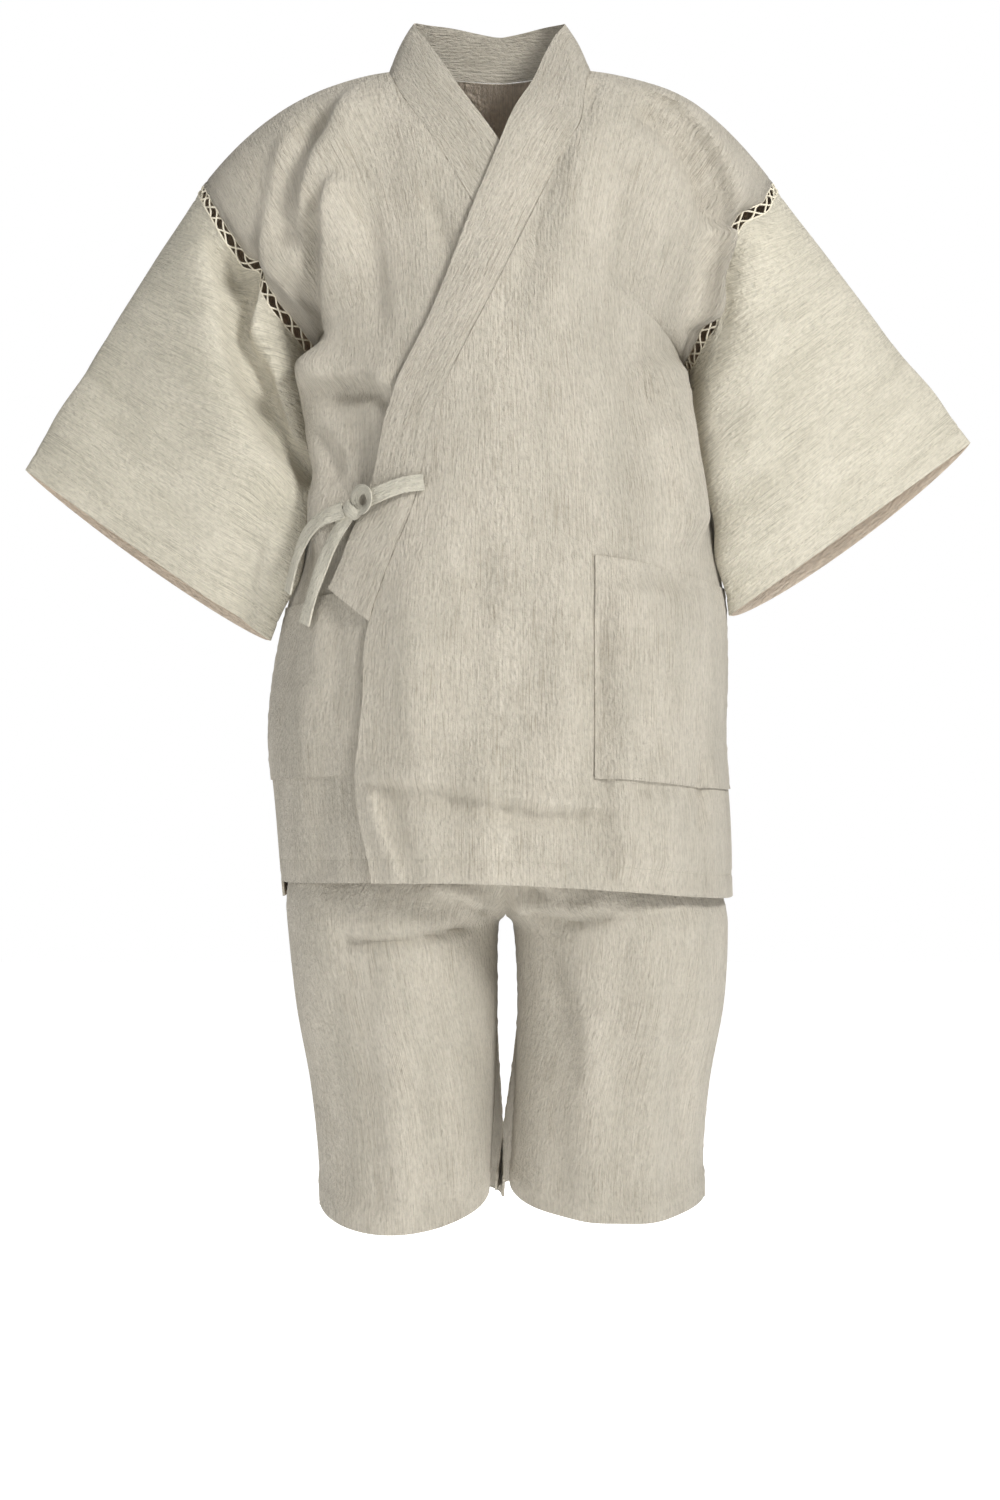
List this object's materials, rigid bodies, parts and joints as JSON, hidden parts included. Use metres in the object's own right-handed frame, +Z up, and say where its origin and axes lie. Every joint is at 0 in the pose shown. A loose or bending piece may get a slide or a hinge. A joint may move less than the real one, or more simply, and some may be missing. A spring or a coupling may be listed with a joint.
{
  "type": "jinbei set",
  "caption": "Worn-form jinbei set: a wrapped jacket with wide laced-on sleeves, side ties and patch pockets, over knee-length shorts, hollow and open at every edge.",
  "frame": {"origin": "the base of the neck, midway between the two points where the collar meets the shoulder fold, where the wearer's shoulders hold the set up", "axes": "+Z up, the front faces -Y, +X is the wearer's left"},
  "size_m": [0.8772, 0.2874, 1.1018],
  "materials": {
    "cloth": "crinkled matte cotton, greige with fine grey slub streaks",
    "cord": "matte cream cotton cord"
  },
  "bodies": {
    "root": {"body_left": "cloth", "sleeve_left": "cloth", "lacing_left": "cord", "pocket_left": "cloth", "shorts_front_left": "cloth", "shorts_back_left": "cloth", "body_right": "cloth", "sleeve_right": "cloth", "lacing_right": "cord", "pocket_right": "cloth", "shorts_front_right": "cloth", "shorts_back_right": "cloth", "collar": "cloth", "waistband": "cloth", "tie_front": "cloth", "tie_side": "cloth", "tail_short": "cloth", "tail_long": "cloth", "tie_knot": "cloth"}
  },
  "joints": []
}
